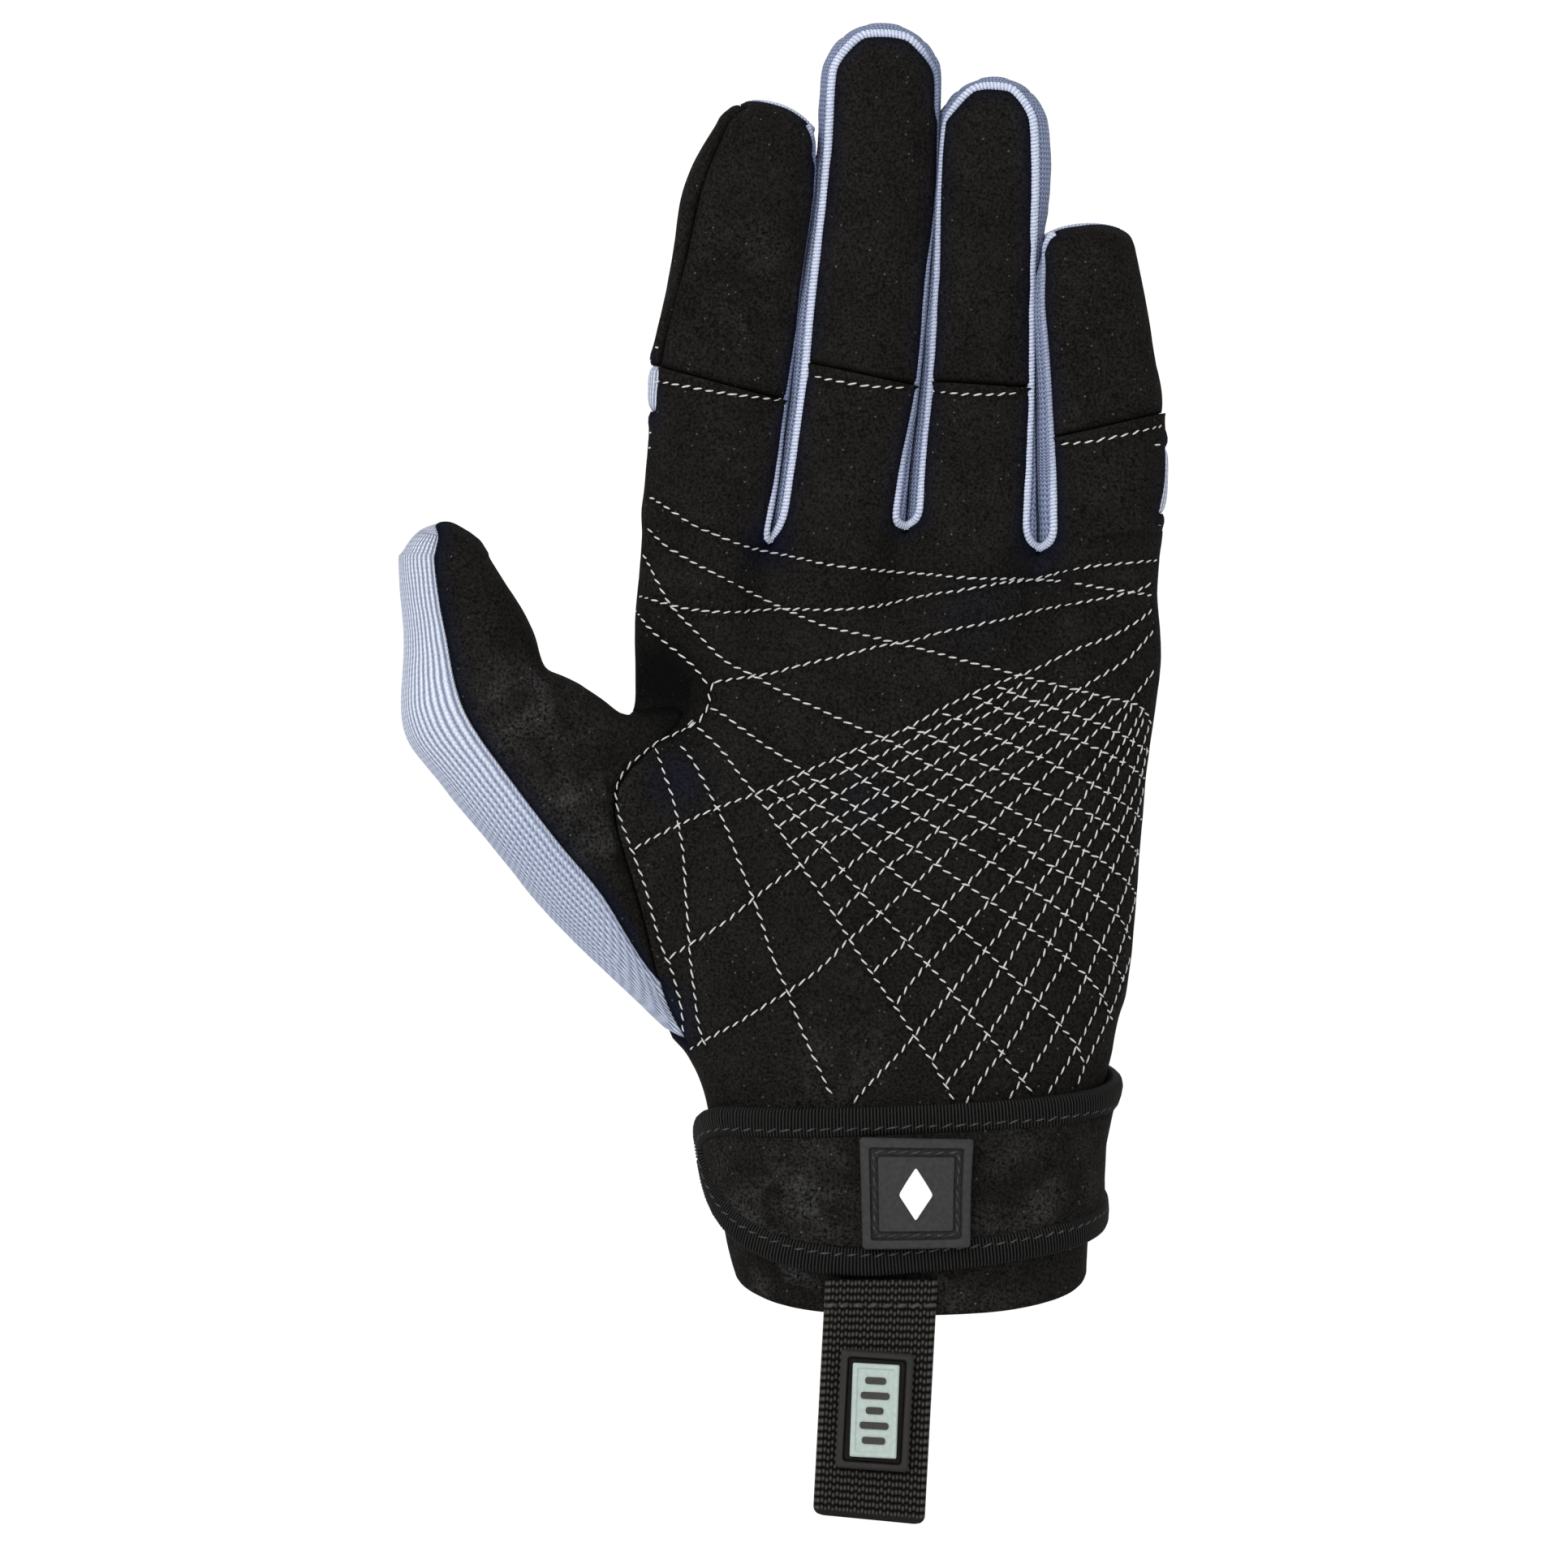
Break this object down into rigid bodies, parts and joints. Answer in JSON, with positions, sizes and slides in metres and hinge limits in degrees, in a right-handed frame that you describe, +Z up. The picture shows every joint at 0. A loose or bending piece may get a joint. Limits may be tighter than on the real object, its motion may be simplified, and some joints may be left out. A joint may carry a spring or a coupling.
{
  "type": "water ski glove",
  "caption": "Left-hand water ski glove with a suede palm and finger pads, blue knit back, wrist strap with a moulded patch, and a webbing pull tab.",
  "frame": {"origin": "middle of the wrist, at the height of the cuff's hem on the palm side", "axes": "+Z up along the fingers, the palm faces -Y, the thumb is towards -X"},
  "size_m": [0.1418, 0.0585, 0.2769],
  "materials": {
    "suede": "black synthetic suede with a short nap, a little smudged",
    "knit": "lavender-blue ribbed stretch knit",
    "tape": "black ribbed elastic binding tape",
    "webbing": "black basket-weave webbing",
    "rubber": "black moulded rubber, satin",
    "grey_rubber": "grey-green moulded rubber, satin"
  },
  "bodies": {
    "root": {"back_panel": "knit", "badge_plate": "grey_rubber", "cuff": "suede", "fourchette_index_middle": "knit", "fourchette_middle_ring": "knit", "fourchette_ring_little": "knit", "index_pad": "suede", "index_side": "suede", "little_pad": "suede", "middle_pad": "suede", "palm_panel": "suede", "pull_tab": "webbing", "ring_pad": "suede", "size_patch": "rubber", "strap_binding": "tape", "tab_badge": "rubber", "thumb_back": "knit", "thumb_front": "suede", "wrist_strap": "suede"}
  },
  "joints": []
}
